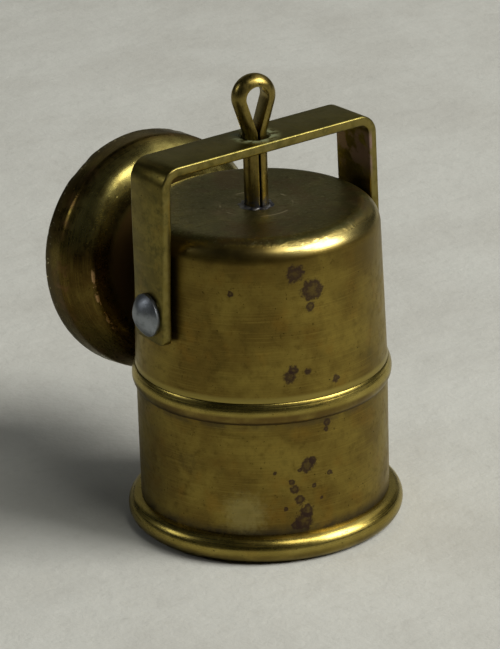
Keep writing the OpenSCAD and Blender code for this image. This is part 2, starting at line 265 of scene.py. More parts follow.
class Paint:
    """One material, built in layers. Sizes are in mm on the object."""

    def __init__(self, name, colour, rough, metal=1.0):
        self.material = bpy.data.materials.new(name)
        self.material.use_nodes = True
        self.tree = self.material.node_tree
        self.shader = self.tree.nodes["Principled BSDF"]
        self.colour = (*colour, 1)
        self.rough = rough
        self.metal = metal
        self.height = None

    def put(self, socket, value):
        if isinstance(value, bpy.types.NodeSocket):
            self.tree.links.new(value, socket)
        else:
            socket.default_value = value

    def node(self, kind, inputs=(), **settings):
        made = self.tree.nodes.new("ShaderNode" + kind)
        for key, value in settings.items():
            setattr(made, key, value)
        for key, value in dict(inputs).items():
            self.put(made.inputs[key], value)
        return made

    def math(self, operation, *values):
        made = self.node("Math", operation=operation)
        for socket, value in zip(made.inputs, values):
            self.put(socket, value)
        return made.outputs["Value"]

    def place(self, stretch=(1, 1, 1)):
        """Coordinates on the object in mm, times stretch."""
        coords = self.node("TexCoord").outputs["Object"]
        return self.node("Mapping", {"Vector": coords, "Scale": [s / MM for s in stretch]}).outputs["Vector"]

    def parts(self):
        split = self.node("SeparateXYZ", {"Vector": self.place()})
        return [split.outputs[axis] for axis in "XYZ"]

    def radius(self):
        """Distance from the object's own Z axis."""
        flat = self.place((1, 1, 0))
        return self.node("VectorMath", {0: flat}, operation="LENGTH").outputs["Value"]

    def noise(self, size, detail=3, stretch=(1, 1, 1), rough=0.5, seed=0.0):
        """Cloud of 0..1 with features of size mm; each seed gives another cloud."""
        inputs = {"Vector": self.place(stretch), "W": seed, "Scale": 1 / size, "Detail": detail,
                  "Roughness": rough}
        return self.node("TexNoise", inputs, noise_dimensions="4D").outputs["Fac"]

    def ramp(self, value, start, end, out=(0.0, 1.0)):
        """Eases value from out[0] at start to out[1] at end."""
        inputs = {"Value": value, "From Min": start, "From Max": end, "To Min": out[0], "To Max": out[1]}
        return self.node("MapRange", inputs, interpolation_type="SMOOTHSTEP").outputs["Result"]

    def both(self, *masks):
        """Mask where all of the masks are."""
        result = masks[0]
        for mask in masks[1:]:
            result = self.math("MULTIPLY", result, mask)
        return result

    def mix(self, mask, a, b):
        """Number or colour between a and b: sockets 2 and 3 take numbers, 6 and 7 colours."""
        made = self.tree.nodes.new("ShaderNodeMix")
        coloured = isinstance(b, tuple)
        made.data_type = "RGBA" if coloured else "FLOAT"
        for index, value in ((0, mask), (6 if coloured else 2, a), (7 if coloured else 3, b)):
            self.put(made.inputs[index], value)
        return made.outputs[2 if coloured else 0]

    def over(self, mask, colour=None, rough=None, metal=None):
        """Lays a layer over what is there, where mask is 1."""
        if colour:
            self.colour = self.mix(mask, self.colour, (*colour, 1))
        if rough is not None:
            self.rough = self.mix(mask, self.rough, rough)
        if metal is not None:
            self.metal = self.mix(mask, self.metal, metal)

    def relief(self, value, depth):
        """Adds fine relief: value 0..1 stands for depth mm."""
        part = self.math("MULTIPLY", value, depth)
        self.height = part if self.height is None else self.math("ADD", self.height, part)

    def done(self):
        self.put(self.shader.inputs["Base Color"], self.colour)
        self.put(self.shader.inputs["Roughness"], self.rough)
        self.put(self.shader.inputs["Metallic"], self.metal)
        if self.height is not None:
            bump = self.node("Bump", {"Height": self.height, "Distance": MM, "Strength": 1.0})
            self.put(self.shader.inputs["Normal"], bump.outputs["Normal"])
        return self.material


# Stretch of the polishing lines: round the canister, along the bail, along the pin, round the reflector
ROUND_GRAIN = (0.12, 0.12, 7.0)
BAIL_GRAIN = (1.2, 0.25, 1.2)
UP_GRAIN = (3.5, 3.5, 0.12)
DISH_GRAIN = (0.25, 0.25, 6.0)

# Reflections at a glancing angle keep a little of the brass's yellow
BRASS_TINT = (0.96, 0.93, 0.80, 1)


def shade(colour, factor):
    return [factor * c for c in colour]


def lay_clouds(paint, dull, bright, seed, wear):
    """Cloudy colour from dull to bright, with warm and green patches."""
    clouds = paint.noise(6.5, 4, rough=0.55, seed=seed)
    paint.over(paint.ramp(clouds, 0.36, 0.66), bright)
    warm = [0.95 * bright[0], 0.72 * bright[1], 0.55 * bright[2]]
    paint.over(paint.ramp(paint.noise(3.2, 4, seed=seed + 3), 0.50, 0.72, (0, 0.45 * wear)), warm)
    green = [0.66 * dull[0], 0.78 * dull[1], 0.9 * dull[2]]
    paint.over(paint.ramp(paint.noise(2.4, 4, seed=seed + 4), 0.56, 0.74, (0, 0.4 * wear)), green)


def lay_specks(paint, dull, seed, wear):
    """Freckles, grit and tiny pits; returns the mask of the pits."""
    freckle = paint.ramp(paint.noise(0.8, 4, rough=0.7, seed=seed + 7), 0.60, 0.68, (0, 0.7 * wear))
    freckle = paint.both(freckle, paint.ramp(paint.noise(5, 2, seed=seed + 8), 0.48, 0.6))
    paint.over(freckle, shade(dull, 0.45), 0.45)
    grit = paint.noise(0.35, 3, rough=0.7, seed=seed + 6)
    paint.over(paint.ramp(grit, 0.5, 0.75, (0, 0.4 * wear)), shade(dull, 0.55))
    pits = paint.ramp(paint.noise(0.5, 2, seed=seed + 5), 0.665, 0.74, (0, 0.85))
    paint.over(pits, shade(dull, 0.35), 0.6)
    return pits


def aged_brass(name, dull, bright, rough, grain=ROUND_GRAIN, seed=0.0, wear=1.0):
    """Brass left to tone, with polishing lines along grain. wear scales its blotches and specks."""
    paint = Paint(name, dull, rough)
    paint.shader.inputs["Specular Tint"].default_value = BRASS_TINT
    lay_clouds(paint, dull, bright, seed, wear)
    mottle = paint.noise(1.3, 5, rough=0.62, seed=seed + 1)
    lines = paint.noise(1.0, 2, grain, seed=seed + 2)
    paint.over(paint.ramp(mottle, 0.50, 0.74, (0, 0.55 * wear)), shade(dull, 0.62))
    paint.over(paint.ramp(lines, 0.50, 0.72, (0, 0.35 * wear)), shade(bright, 1.35))
    paint.over(paint.ramp(lines, 0.48, 0.28, (0, 0.3 * wear)), shade(dull, 0.7))
    pits = lay_specks(paint, dull, seed, wear)
    paint.rough = paint.math("ADD", paint.rough, paint.ramp(mottle, 0.35, 0.75, (-0.04 * wear, 0.10 * wear)))
    paint.rough = paint.math("ADD", paint.rough, paint.ramp(lines, 0.3, 0.7, (-0.03, 0.05)))
    paint.relief(lines, 0.006)
    paint.relief(mottle, 0.012)
    paint.relief(paint.math("SUBTRACT", 1.0, pits), 0.01)
    return paint


def stain(paint, angle, height, size, wall_r, soft=0.0):
    """Mask of one spot on the round wall, a little paler inside. Angle from +X (degrees); soft blurs it."""
    a = math.radians(angle)
    centre = Vector((wall_r * math.cos(a), wall_r * math.sin(a), height))
    inputs = {"Vector": paint.place(), "Scale": 1.3, "Detail": 4.0, "Roughness": 0.65}
    ragged = paint.node("TexNoise", inputs)
    shift = paint.node("VectorMath", {0: ragged.outputs["Color"], 1: (0.5, 0.5, 0.5)}, operation="SUBTRACT")
    reach = paint.node("VectorMath", {0: shift.outputs["Vector"], "Scale": 1.7 * size}, operation="SCALE")
    moved = paint.node("VectorMath", {0: paint.place(), 1: reach.outputs["Vector"]}, operation="ADD")
    away = paint.node("VectorMath", {0: moved.outputs["Vector"], 1: centre}, operation="DISTANCE")
    gap = away.outputs["Value"]
    inside = paint.ramp(gap, (1.1 + soft) * size, (0.8 - soft) * size)
    ring = paint.ramp(gap, 0.15 * size, 0.7 * size, (0.62, 1.0))
    return paint.both(inside, ring)


# Tarnish spots on cap and base: angle round from +X (degrees), height, radius (mm)
CAP_WALL_R = 18.4
CAP_SPOTS = [(69.5, 44.6, 1.45), (77.5, 41.8, 1.7), (76.5, 39.3, 0.7), (65.5, 28.9, 1.0),
             (67, 30.0, 0.8), (74, 29.4, 0.6), (88, 27.4, 0.8), (40, 42, 0.5),
             (150, 36, 1.1), (152, 33, 0.8), (205, 44, 1.2)]
BASE_WALL_R = 18.95
BASE_SPOTS = [(72.5, 14.8, 1.2), (75, 15.4, 0.7), (83.5, 12.9, 0.5), (66.5, 11.2, 0.8), (65, 12.4, 0.5),
              (68.5, 9.4, 0.9), (72, 7.6, 1.1), (70, 6.0, 1.5), (66.5, 5.4, 0.8), (69, 14.2, 0.4),
              (82.5, 20.9, 0.65), (82, 19.9, 0.45), (75.5, 11.4, 0.4), (57.5, 14, 0.35), (79, 9.2, 0.35),
              (62, 8.2, 0.4), (160, 9, 1.2), (163, 12, 0.7), (230, 17, 1.3), (300, 8, 1.1)]

# A pale patch and a faint ring on the base, measured in the same way
PALE_PATCH = (43.5, 7.6, 2.6)
FAINT_RING = (16.5, 14.6, 1.7)

# Direction round from +X of the side of the cap's shoulder that carries a painted highlight over some wear
PAINTED_HIGHLIGHT_ANGLE = math.radians(106)


def canister_brass(name, seed):
    """The toned brass that cap and base share."""
    return aged_brass(name, (0.150, 0.101, 0.021), (0.250, 0.184, 0.038), 0.37, seed=seed)


def spotted(paint, spots, wall_r):
    """Finishes a wall's material with purple-brown tarnish spots."""
    for angle, height, size in spots:
        mask = stain(paint, angle, height, size, wall_r, 0.06)
        paint.over(paint.math("MULTIPLY", mask, 0.9), (0.036, 0.019, 0.014), 0.5, 0.85)
    return paint.done()


def lay_cap_top(paint, top, radius, cloud):
    """The flat top, where mask top is 1: dark, mottled, sandy, worn round the pin, with a ring scratch."""
    paint.over(top, (0.094, 0.085, 0.024), 0.34, 0.95)
    paint.over(paint.both(top, paint.ramp(cloud, 0.48, 0.7)), (0.158, 0.142, 0.048), 0.40)
    speck = paint.ramp(paint.noise(0.9, 5, rough=0.7, seed=33.0), 0.52, 0.68, (0, 0.7))
    paint.over(paint.both(top, speck), (0.048, 0.036, 0.013), 0.46)
    brown = paint.ramp(paint.noise(5.5, 4, rough=0.6, seed=35.0), 0.46, 0.62, (0, 0.65))
    paint.over(paint.both(top, brown), (0.115, 0.068, 0.026), 0.36)
    patchy = paint.ramp(paint.noise(1.1, 5, rough=0.7, seed=36.0), 0.42, 0.62, (0, 0.6))
    worn_ring = paint.both(top, patchy, paint.ramp(radius, 8.5, 5.0), paint.ramp(radius, 2.2, 3.2))
    paint.over(worn_ring, (0.20, 0.17, 0.085), 0.38)
    wear = paint.ramp(paint.noise(1.6, 5, rough=0.75, seed=34.0), 0.56, 0.68, (0, 0.7))
    paint.over(paint.both(top, wear), (0.22, 0.185, 0.085), 0.38)
    sand = paint.noise(0.45, 4, rough=0.75, seed=37.0)
    paint.over(paint.both(top, paint.ramp(sand, 0.55, 0.66, (0, 0.6))), (0.25, 0.225, 0.10), 0.36)
    paint.relief(paint.both(top, sand), 0.05)
    paint.relief(paint.both(top, cloud), 0.12)
    scratch_r = 5.4
    scratch = paint.ramp(paint.math("ABSOLUTE", paint.math("SUBTRACT", radius, scratch_r)), 0.2, 0.07)
    scratch = paint.both(scratch, top, paint.ramp(paint.noise(3.0, 1, seed=9.0), 0.5, 0.6))
    paint.over(scratch, (0.42, 0.36, 0.22), 0.33)


def lay_shoulder(paint, cloud):
    """Painted shade darkening the wall up to the shoulder; the shoulder toned, with a painted highlight over
    some wear on the side towards the window light.
    """
    x, y, z = paint.parts()
    # Painted shade: the wall darkened as it rises to the shoulder
    rising = paint.ramp(z, SHOULDER_Z - 8, SHOULDER_Z + 0.5)
    under = paint.both(rising, paint.ramp(cloud, 0.3, 0.6, (0.35, 0.75)))
    paint.over(paint.both(under, paint.ramp(z, CAP_Z - 1.2, CAP_Z - 1.8)), (0.098, 0.064, 0.014), 0.36)
    off_top = paint.ramp(z, CAP_Z - 0.2, CAP_Z - 1.2)
    shoulder = paint.both(off_top, paint.ramp(z, SHOULDER_Z + 1.0, SHOULDER_Z + 2.2))
    toned = paint.both(shoulder, paint.ramp(paint.noise(2.2, 4, seed=13.0), 0.30, 0.55, (0.5, 0.95)))
    paint.over(toned, (0.085, 0.060, 0.016), 0.33)
    # Painted highlight: the shoulder made bright on the side facing the window light, with some wear in it
    toward_x = paint.math("MULTIPLY", x, math.cos(PAINTED_HIGHLIGHT_ANGLE))
    toward = paint.math("ADD", toward_x, paint.math("MULTIPLY", y, math.sin(PAINTED_HIGHLIGHT_ANGLE)))
    painted_highlight_and_wear = paint.both(shoulder, paint.ramp(paint.noise(2.6, 4, seed=12.0), 0.30, 0.65, (0.4, 1.0)),
                        paint.ramp(toward, 10.5, 14.5, (0.12, 1.0)))
    paint.over(painted_highlight_and_wear, (0.46, 0.37, 0.13), 0.24)


def cap_brass():
    """The cap: a dark sunk top, a shoulder with a painted highlight on one side, a bright lip and the wall's
    spots.
    """
    paint = canister_brass("cap_brass", 2.0)
    z = paint.parts()[2]
    cloud = paint.noise(4.5, 4, rough=0.6, seed=31.0)
    ragged_z = paint.math("ADD", z, paint.ramp(cloud, 0.3, 0.7, (-0.25, 0.25)))
    top = paint.ramp(ragged_z, CAP_Z - 1.0, CAP_Z - 0.35)
    lay_cap_top(paint, top, paint.radius(), cloud)
    lay_shoulder(paint, cloud)
    rubbed_lip = paint.ramp(z, CAP_LOW_Z + 0.6, CAP_LOW_Z)
    paint.over(rubbed_lip, (0.30, 0.235, 0.058), 0.3)
    return spotted(paint, CAP_SPOTS, CAP_WALL_R)


def base_brass():
    """The base: dirt and painted shade in the two corners, a pale patch, a faint ring and the wall's spots.
    """
    paint = canister_brass("base_brass", 5.0)
    z = paint.parts()[2]
    cloud = paint.noise(3.5, 4, rough=0.6, seed=41.0)
    # Dirt and painted shade: darker in the corner above the foot ring and just under the bead
    dirt_and_painted_shade_above_foot = paint.both(paint.ramp(z, 6.2, 4.3), paint.ramp(cloud, 0.35, 0.6, (0.35, 1.0)))
    paint.over(dirt_and_painted_shade_above_foot, (0.05, 0.038, 0.018), 0.5, 0.8)
    dirt_and_painted_shade_under_bead = paint.ramp(z, JOINT_Z - 4.6, JOINT_Z - 3.5, (0, 0.6))
    paint.over(paint.both(dirt_and_painted_shade_under_bead, paint.ramp(cloud, 0.35, 0.6)), (0.06, 0.045, 0.02), 0.5, 0.8)
    pale = stain(paint, *PALE_PATCH, BASE_WALL_R - 0.05, 0.6)
    paint.over(paint.math("MULTIPLY", pale, 0.55), (0.36, 0.31, 0.12), 0.42)
    faint = stain(paint, *FAINT_RING, BASE_WALL_R - 0.05, 0.3)
    paint.over(paint.math("MULTIPLY", faint, 0.4), (0.07, 0.05, 0.018), 0.45)
    return spotted(paint, BASE_SPOTS, BASE_WALL_R)


def moulding_brass():
    """Bead and foot ring: smoother than the walls, bright on top, with painted shade and a red-brown tone on
    their lower halves.
    """
    dull, bright = (0.27, 0.205, 0.046), (0.38, 0.30, 0.076)
    paint = aged_brass("moulding_brass", dull, bright, 0.27, seed=8.0, wear=0.35)
    z = paint.parts()[2]
    brown = paint.ramp(paint.noise(2.6, 4, rough=0.6, seed=8.5), 0.3, 0.6, (0.45, 0.95))
    # Painted shade with a red-brown tone: the lower halves of the foot ring and of the bead made darker
    painted_shade_ring_underside = paint.ramp(z, 2.3, 1.3)
    paint.over(paint.both(painted_shade_ring_underside, brown), (0.135, 0.098, 0.024), 0.33)
    on_bead = paint.ramp(z, JOINT_Z - 4.0, JOINT_Z - 3.9)
    painted_shade_bead_underside = paint.both(on_bead, paint.ramp(z, JOINT_Z - 1.5, JOINT_Z - 2.1))
    paint.over(paint.both(painted_shade_bead_underside, brown), (0.125, 0.080, 0.022), 0.33)
    groove = paint.both(on_bead, paint.ramp(z, JOINT_Z - 2.7, JOINT_Z - 3.2))
    paint.over(groove, (0.070, 0.045, 0.016), 0.4)
    return paint.done()


def strip_brass():
    """The bail: dull faces, bright edges, a green crust round the hole and a scuff inside the far arm."""
    dull, bright = (0.120, 0.094, 0.021), (0.200, 0.158, 0.036)
    paint = aged_brass("strip_brass", dull, bright, 0.34, BAIL_GRAIN, 14.0)
    x, y, z = paint.parts()
    edge = paint.ramp(paint.math("ABSOLUTE", y), STRIP_W / 2 - 0.35, STRIP_W / 2 - 0.05)
    nibbled = paint.ramp(paint.noise(1.1, 3, seed=15.0), 0.36, 0.55, (0.35, 1.0))
    paint.over(paint.both(edge, nibbled), (0.20, 0.16, 0.046), 0.30)
    paint.over(paint.ramp(z, BAIL_Z - 0.3, BAIL_Z - 0.05, (0, 0.5)), (0.096, 0.092, 0.022), 0.38)
    blotch = paint.ramp(paint.noise(1.8, 5, rough=0.7, seed=19.0), 0.48, 0.66, (0, 0.6))
    paint.over(blotch, (0.072, 0.064, 0.016), 0.44, 0.95)
    ragged = paint.ramp(paint.noise(0.9, 4, seed=16.0), 0.34, 0.52)
    crust = paint.both(paint.ramp(paint.radius(), 4.4, 2.6), ragged)
    paint.over(crust, (0.17, 0.19, 0.10), 0.6, 0.3)
    paint.relief(crust, 0.05)
    inside = paint.both(paint.ramp(x, 0.8 - BAIL_X, 1.1 - BAIL_X), paint.ramp(x, 6 - BAIL_X, 5 - BAIL_X))
    patchy = paint.ramp(paint.noise(2.2, 4, seed=18.0), 0.45, 0.58)
    scuff = paint.both(inside, patchy, paint.ramp(z, BAIL_Z - 11, BAIL_Z - 6.5),
                       paint.ramp(z, BAIL_Z - 2, BAIL_Z - 4))
    paint.over(scuff, (0.26, 0.17, 0.135), 0.45, 0.8)
    return paint.done()


def wire_brass():
    """The split pin: lines along the wire, dark at the foot where it was soldered."""
    paint = aged_brass("wire_brass", (0.130, 0.094, 0.024), (0.235, 0.178, 0.046), 0.31, UP_GRAIN, 17.0)
    z = paint.parts()[2]
    patchy = paint.ramp(paint.noise(0.7, 4, seed=24.0), 0.35, 0.6)
    foot = paint.both(patchy, paint.ramp(z, TOP_MID_Z + 3.5, TOP_MID_Z + 0.3))
    paint.over(foot, (0.06, 0.058, 0.062), 0.42, 0.8)
    return paint.done()


def dish_brass():
    """The spun reflector: copper-red wall, a painted highlight on top of the bend, painted shade on the
    back, a dark band, a nicked rim and a painted reflection along the ridge.
    """
    dull, bright = (0.074, 0.046, 0.010), (0.150, 0.110, 0.024)
    paint = aged_brass("dish_brass", dull, bright, 0.27, DISH_GRAIN, 20.0)
    y, z = paint.parts()[1:]
    radius = paint.radius()
    cloud = paint.noise(2.2, 5, rough=0.65, seed=21.0)
    wall = paint.both(paint.ramp(z, 1.2, 3.0), paint.ramp(z, 6.5, 5.0))
    paint.over(paint.both(wall, paint.ramp(cloud, 0.48, 0.66, (0, 0.6))), (0.15, 0.078, 0.030), 0.36)
    # Painted highlight: the top of the bend made bright
    bend = paint.both(paint.ramp(radius, 11.2, 13.4), paint.ramp(z, 4.2, 2.0), paint.ramp(y, 3.0, 8.5))
    paint.over(paint.both(bend, paint.ramp(cloud, 0.30, 0.62, (0.35, 1.0))), (0.36, 0.305, 0.092), 0.27)
    # Painted shade: the back, which faces the canister, made dark
    back = paint.both(paint.ramp(radius, 12.6, 11.0), paint.ramp(z, 0.5, 0.2))
    paint.over(back, (0.085, 0.048, 0.011), 0.5, 0.7)
    outer = paint.ramp(radius, DISH_R - 0.8, DISH_R - 0.4)
    band = paint.both(outer, paint.ramp(z, DISH_DEPTH - 2.4, DISH_DEPTH - 0.9))
    paint.over(paint.both(band, paint.ramp(cloud, 0.35, 0.6, (0.4, 0.9))), (0.052, 0.036, 0.011), 0.42, 0.85)
    nicks = paint.ramp(paint.noise(0.5, 2, seed=22.0), 0.63, 0.68)
    at_rim = paint.ramp(z, DISH_DEPTH - 1.6, DISH_DEPTH - 0.9)
    paint.over(paint.both(nicks, at_rim), (0.75, 0.66, 0.36), 0.25)
    # Painted reflection: a bright line along the ridge on its lower side, broken up like scratches
    ridge_r = DISH_R - 3.6
    off_ridge = paint.math("ABSOLUTE", paint.math("SUBTRACT", radius, ridge_r))
    scratch = paint.both(paint.ramp(off_ridge, 0.35, 0.12), paint.ramp(y, 2.0, 0.5),
                         paint.ramp(y, -9.5, -8.0))
    broken = paint.ramp(paint.noise(1.3, 4, rough=0.7, seed=25.0), 0.44, 0.54)
    paint.over(paint.both(scratch, broken), (0.55, 0.34, 0.16), 0.3)
    return paint.done()


def fitting_brass():
    """Turned fittings kept clean inside the lamp."""
    return aged_brass("fitting_brass", (0.38, 0.27, 0.09), (0.56, 0.43, 0.16), 0.26, seed=23.0).done()


def tinned():
    """Solder: grey, lumpy, with bright and dark patches."""
    paint = Paint("tinned", (0.19, 0.185, 0.18), 0.42)
    cloud = paint.noise(0.7, 4, seed=50.0)
    paint.over(paint.ramp(cloud, 0.42, 0.62), (0.035, 0.035, 0.048), 0.5)
    paint.relief(cloud, 0.06)
    return paint.done()


def rivet_steel():
    """Grey rivet metal with dull clouds and dark pits."""
    paint = Paint("rivet_steel", (0.27, 0.29, 0.31), 0.38)
    cloud = paint.noise(1.3, 5, rough=0.65, seed=60.0)
    paint.over(paint.ramp(cloud, 0.45, 0.68), (0.16, 0.175, 0.19), 0.5)
    paint.over(paint.ramp(paint.noise(0.5, 2, seed=61.0), 0.66, 0.74, (0, 0.6)), (0.07, 0.065, 0.06), 0.6)
    paint.relief(cloud, 0.03)
    return paint.done()


def plain_stuff(name, colour, rough, size, relief, spread=0.5):
    """Non-metal with mottled colour and relief."""
    paint = Paint(name, colour, rough, 0.0)
    cloud = paint.noise(size, 5, rough=0.65, seed=70.0)
    paint.over(paint.ramp(cloud, 0.4, 0.7, (0, spread)), shade(colour, 0.6))
    paint.relief(cloud, relief)
    return paint.done()


def floor_stuff():
    """Pale, faintly mottled backing sheet."""
    paint = Paint("floor_stuff", (0.50, 0.505, 0.465), 0.9, 0.0)
    paint.over(paint.ramp(paint.noise(28, 5, rough=0.6, seed=80.0), 0.38, 0.66), (0.455, 0.455, 0.415))
    dark = paint.ramp(paint.noise(3, 5, rough=0.75, seed=81.0), 0.5, 0.72, (0, 0.45))
    paint.over(dark, (0.40, 0.40, 0.36))
    pale = paint.ramp(paint.noise(1.1, 3, rough=0.7, seed=83.0), 0.55, 0.75, (0, 0.4))
    paint.over(pale, (0.56, 0.56, 0.52))
    paint.relief(paint.noise(9, 6, rough=0.65, seed=82.0), 0.5)
    return paint.done()


# ---------------------------------------------------------------- canister

def worked(x, y, z, depth=0.035, size=9.0, seed=3.0):
    """Hand-worked sheet: the radius wanders by a few hundredths of a millimetre."""
    r = max(math.hypot(x, y), 0.1)
    grow = 1 + depth * wobble((x, y, z), size, seed) / r
    return (x * grow, y * grow, z)


def make_base_cup(material):
    """Lower half of the canister: a cup with a flat floor."""
    inner_r = JOINT_R - SHEET_T
    outline = eased([(0, 0, 0), (BASE_R - 0.2, 0, 0.6), (JOINT_R, JOINT_Z, 0.25),
                     (inner_r, JOINT_Z, 0.1), (inner_r, SHEET_T, 0.5), (0, SHEET_T, 0)])

    def shape(x, y, z):
        """The underside stays as turned."""
        return worked(x, y, z) if z > 0.7 else (x, y, z)

    fit(lathe("base_cup_wall", outline, shape), material, "base", "brass_canister", "base_cup")


def make_foot_ring(material):
    """Half-round ring round the foot."""
    ring_r = high("foot_ring").z / 2
    mid = high("foot_ring").x - ring_r
    outline = arc(mid, ring_r, ring_r, -100, 100, 30)
    outline += [(BASE_R - 0.1, 2 * ring_r - 0.06), (BASE_R - 0.1, 0.08)]
    fit(lathe("foot_ring_half_round", outline, step=2), material, "base", "brass_moulding", "foot_ring")


def make_base_bead(material):
    """Bead under the joint, its top edge flared to meet the cap's lip."""
    bead_h = JOINT_Z - low("base_bead").z
    proud = high("base_bead").x - JOINT_R
    bow = (bead_h ** 2 / 4 + proud ** 2) / (2 * proud)
    half = math.degrees(math.asin(bead_h / 2 / bow))
    bent = [(r, z) for r, z in arc(high("base_bead").x - bow, JOINT_Z - bead_h / 2, bow, -half, half, 30)
            if z < JOINT_Z - 0.45]
    outline = [*bent, (bent[-1][0] - 0.08, JOINT_Z - 0.2), (JOINT_R + JOINT_FLARE, JOINT_Z - 0.03)]
    outline += [(JOINT_R - 0.2, JOINT_Z - 0.02), (JOINT_R - 0.2, JOINT_Z - bead_h)]
    fit(lathe("base_bead_moulding", outline, step=2), material, "base", "brass_moulding", "base_bead")


def make_neck(material):
    """Neck with its rolled thread, seen when the cap is unscrewed."""
    bore_r = NECK_R - 1
    low_z = JOINT_Z - 3.4
    sleeve_r = JOINT_R - SHEET_T - 0.05
    outline = eased([(bore_r, low_z, 0), (sleeve_r, low_z, 0), (sleeve_r, JOINT_Z, 0.2),
                     (NECK_R, JOINT_Z, 0.2), (NECK_R, NECK_TOP_Z, 0.3), (bore_r, NECK_TOP_Z, 0.3)])

    def shape(x, y, z):
        """Rolls the thread into the outer face above the joint."""
        r = math.hypot(x, y)
        if r < NECK_R - 0.6 or z < JOINT_Z + 0.1:
            return (x, y, z)
        wave = 0.5 - 0.5 * math.cos(2 * math.pi * z / NECK_PITCH - math.atan2(y, x))
        fade = smooth(z, JOINT_Z + 0.4, JOINT_Z + 1.2) * smooth(z, NECK_TOP_Z, NECK_TOP_Z - 0.6)
        grow = 1 - 0.5 * wave * fade / r
        return (x * grow, y * grow, z)

    fit(lathe("base_neck_thread", outline, shape, step=0.2), material, "base", "brass_fitting", "base_neck")


def make_gasket(material):
    """Flat seal round the neck, between bead and cap."""
    lo, hi = low("gasket"), high("gasket")
    inner = NECK_R + 0.07
    outline = eased([(inner, lo.z, 0.12), (hi.x, lo.z, 0.2), (hi.x, hi.z, 0.2), (inner, hi.z, 0.12)], 3)
    fit(lathe("gasket_ring", outline), material, "gasket", "seal_rubber", "gasket")


def make_cap_shell(material):
    """Cap: skirt, wall, rounded shoulder and a top that sinks a little towards the pin."""
    rim_r = CAP_TOP_R - SHOULDER_R
    skirt_in_r = JOINT_R - SHEET_T
    skirt_top_z = 32.6
    wall_in_r = 17.1
    top_in_r = 15.6
    lip_in_r = JOINT_R - 0.22
    lip_z = CAP_LOW_Z - SKIRT_LIP
    lip_edge = 0.08
    outline = [(skirt_in_r, CAP_LOW_Z), (lip_in_r, CAP_LOW_Z), (lip_in_r, lip_z)]
    outline += arc(JOINT_R + JOINT_FLARE - lip_edge, lip_z + lip_edge, lip_edge, -90, 0, 3)
    outline += [(JOINT_R + 0.4 * JOINT_FLARE, CAP_LOW_Z), (JOINT_R + 0.08 * JOINT_FLARE, CAP_LOW_Z + 0.5)]
    outline += arc(rim_r, SHOULDER_Z, SHOULDER_R, 0, 90, 18)
    outline += [(BUSH_R, TOP_MID_Z), (BUSH_R, TOP_MID_Z - SHEET_T), (top_in_r, TOP_MID_Z - SHEET_T)]
    outline += [(top_in_r, SHOULDER_Z), (wall_in_r, SHOULDER_Z), (wall_in_r, skirt_top_z),
                (skirt_in_r, skirt_top_z)]

    def shape(x, y, z):
        """Uneven wall, and shallow dips in the top."""
        x, y, z = worked(x, y, z, seed=5.0)
        r = math.hypot(x, y)
        if z > TOP_MID_Z - 0.5 and r < rim_r + 1:
            z += 0.06 * wobble((x, y, 0), 7.0, 2.0) * smooth(r, rim_r + 1, rim_r - 1) * smooth(r, 2.5, 4.5)
        return (x, y, min(z, CAP_Z))

    fit(lathe("cap_shell_wall", outline, shape), material, "cap", "brass_canister", "cap_shell")


# ---------------------------------------------------------------- reflector and burner

def dish_outline():
    """Section of the bowl: flat back at 0, bend, conical wall, second bend, band with a softened rim."""
    wall_out = Vector((math.cos(math.radians(DISH_FLARE)), -math.sin(math.radians(DISH_FLARE))))
    band_out = Vector((math.cos(math.radians(BAND_FLARE)), -math.sin(math.radians(BAND_FLARE))))
    band_up = Vector((-band_out.y, band_out.x))
    rim = Vector((DISH_R, DISH_DEPTH))
    band_mid = rim - BAND_H * band_up - BAND_BEND_R * band_out
    wall_h = band_mid.y + BAND_BEND_R * wall_out.y - DISH_BEND_R * (1 + wall_out.y)
    wall_run = wall_h * math.tan(math.radians(DISH_FLARE))
    bend_x = band_mid.x + (BAND_BEND_R - DISH_BEND_R) * wall_out.x - wall_run

    def face(inset, back):
        """One face of the sheet, from the back outwards."""
        bends = arc(bend_x, DISH_BEND_R, DISH_BEND_R - inset, -90, -DISH_FLARE, 10)
        bends += arc(*band_mid, BAND_BEND_R - inset, -DISH_FLARE, -BAND_FLARE, 8)
        return [(2.62, back), *bends]

    half = DISH_T / 2
    edge_mid = rim - half * band_out - half * band_up
    start = math.degrees(math.atan2(band_out.y, band_out.x))
    return face(0, 0) + arc(*edge_mid, half, start, start + 180, 8) + list(reversed(face(DISH_T, DISH_T)))


def make_dish(material):
    place = axis_place() @ Matrix.Translation((0, 0, DISH_BACK * MM))

    def shape(x, y, z):
        """Small knocks along the rim, one deeper dent, and a slightly uneven wall."""
        r = max(math.hypot(x, y), 0.1)
        angle = math.degrees(math.atan2(y, x))
        at_rim = smooth(z, DISH_DEPTH - 1.4, DISH_DEPTH) * smooth(r, DISH_R - 2.5, DISH_R - 1)
        knock = max(0, wobble((x * DISH_R / r, y * DISH_R / r, 0), 1.3, 6.0) - 0.3)
        dent = smooth(abs(angle - DENT_ANGLE), 9, 3)
        push = 0.05 * wobble((x, y, z), 6.0, 9.0) - at_rim * (0.3 * knock + 0.2 * dent)
        return (x * (1 + push / r), y * (1 + push / r), z - 0.2 * at_rim * knock)

    bowl = lathe("reflector_bowl", dish_outline(), shape, place=place)
    fit(bowl, material, "cap", "brass_spun", "reflector_dish")


